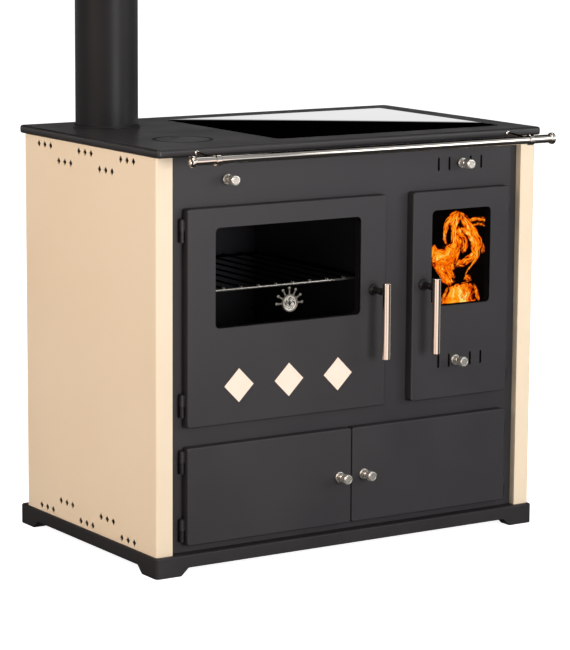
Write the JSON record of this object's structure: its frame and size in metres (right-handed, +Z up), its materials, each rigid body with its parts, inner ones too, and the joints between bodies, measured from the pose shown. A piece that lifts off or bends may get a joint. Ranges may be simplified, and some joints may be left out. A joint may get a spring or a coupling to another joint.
{
  "type": "wood cookstove",
  "caption": "Sheet-steel wood cookstove with enamelled sides, glazed oven and firebox doors, glass cooking zone, round lid, towel rail, lower storage bay and a stovepipe.",
  "frame": {"origin": "on the floor, under the middle of the bounding box", "axes": "+Z up, -Y the stove's front, +X to the right seen from the front"},
  "size_m": [0.93, 0.664, 1.35],
  "materials": {
    "black_paint": "satin",
    "hob_frame": "satin",
    "cream_enamel": "gloss",
    "chrome": "polished",
    "nickel": "satin",
    "black_steel": "satin",
    "bare_steel": "satin",
    "cast_iron": "matte",
    "oven_enamel": "gloss",
    "shelf_wire": "satin",
    "door_glass": "polished",
    "hob_glass": "polished",
    "firebrick": "matte",
    "seal_rope": "matte",
    "stovepipe": "satin"
  },
  "bodies": {
    "stove": {"plinth": "black_paint", "floor_plate": "bare_steel", "side_panel_right": "cream_enamel", "side_panel_left": "cream_enamel", "back_panel": "bare_steel", "front_plate": "black_paint", "storage_liner": "bare_steel", "oven_box": "oven_enamel", "oven_shelf": "shelf_wire", "firebox_shell": "cast_iron", "firebrick_left": "firebrick", "firebrick_right": "firebrick", "firebrick_back": "firebrick", "fire_grate": "cast_iron", "ash_pan": "bare_steel", "smoke_chamber": "cast_iron", "top_frame": "hob_frame", "hob_glass": "hob_glass", "lid_ring": "hob_frame", "flue_pipe": "stovepipe", "flue_collar": "stovepipe", "towel_rail": "chrome", "rail_bracket_right": "chrome", "rail_bracket_left": "chrome", "oven_hinge_lower": "black_steel", "oven_hinge_upper": "black_steel", "firebox_hinge_lower": "black_steel", "firebox_hinge_upper": "black_steel", "lower_right_hinge_lower": "black_steel", "lower_right_hinge_upper": "black_steel", "lower_left_hinge_lower": "black_steel", "lower_left_hinge_upper": "black_steel"},
    "oven_door": {"oven_door_skin": "black_paint", "oven_door_liner": "black_steel", "oven_door_glass": "door_glass", "oven_door_seal": "seal_rope", "diamond_inlay_1": "cream_enamel", "diamond_inlay_2": "cream_enamel", "diamond_inlay_3": "cream_enamel", "oven_thermometer": "nickel"},
    "oven_handle": {"oven_handle_rod": "chrome", "oven_handle_spindle": "black_steel"},
    "thermometer_pointer": {"thermometer_needle": "black_steel"},
    "firebox_door": {"firebox_door_skin": "black_paint", "firebox_door_liner": "black_steel", "firebox_door_glass": "door_glass", "firebox_door_seal": "seal_rope"},
    "firebox_handle": {"firebox_handle_rod": "chrome", "firebox_handle_spindle": "black_steel"},
    "primary_air": {"primary_air_slide": "black_steel", "primary_air_knob": "nickel"},
    "lower_right_leaf": {"lower_right_door": "black_paint", "lower_right_knob": "nickel"},
    "lower_left_leaf": {"lower_left_door": "black_paint", "lower_left_knob": "nickel"},
    "damper": {"damper_knob": "nickel", "damper_slide": "black_steel"},
    "secondary_air": {"secondary_air_slide": "black_steel", "secondary_air_knob": "nickel"},
    "lid_body": {"lid": "hob_frame"}
  },
  "joints": [
    {"name": "oven_door_hinge", "type": "hinge", "parent": "stove", "child": "oven_door", "pos_m": [-0.3971, -0.222, 0.5125], "axis": [0, 0, -1], "range_deg": [0, 110]},
    {"name": "oven_handle_turn", "type": "hinge", "parent": "oven_door", "child": "oven_handle", "pos_m": [0.0485, -0.235, 0.5375], "axis": [0, 1, 0], "range_deg": [0, 90]},
    {"name": "thermometer_turn", "type": "hinge", "parent": "oven_door", "child": "thermometer_pointer", "pos_m": [-0.1555, -0.238, 0.527], "axis": [0, 1, 0], "range_deg": [-135, 135]},
    {"name": "firebox_door_hinge", "type": "hinge", "parent": "stove", "child": "firebox_door", "pos_m": [0.3971, -0.222, 0.5125], "axis": [0, 0, 1], "range_deg": [0, 110]},
    {"name": "firebox_handle_turn", "type": "hinge", "parent": "firebox_door", "child": "firebox_handle", "pos_m": [0.173, -0.235, 0.5375], "axis": [0, -1, 0], "range_deg": [0, 90]},
    {"name": "primary_air_shift", "type": "slide", "parent": "firebox_door", "child": "primary_air", "axis": [1, 0, 0], "range_m": [0, 0.01]},
    {"name": "lower_right_door_hinge", "type": "hinge", "parent": "stove", "child": "lower_right_leaf", "pos_m": [0.3971, -0.222, 0.157], "axis": [0, 0, 1], "range_deg": [0, 110]},
    {"name": "lower_left_door_hinge", "type": "hinge", "parent": "stove", "child": "lower_left_leaf", "pos_m": [-0.3971, -0.222, 0.157], "axis": [0, 0, -1], "range_deg": [0, 110]},
    {"name": "damper_pull", "type": "slide", "parent": "stove", "child": "damper", "axis": [0, -1, 0], "range_m": [0, 0.05]},
    {"name": "secondary_air_shift", "type": "slide", "parent": "stove", "child": "secondary_air", "axis": [1, 0, 0], "range_m": [-0.01, 0]},
    {"name": "lid_lift", "type": "slide", "parent": "stove", "child": "lid_body", "axis": [0, 0, 1], "range_m": [0, 0.06]}
  ]
}
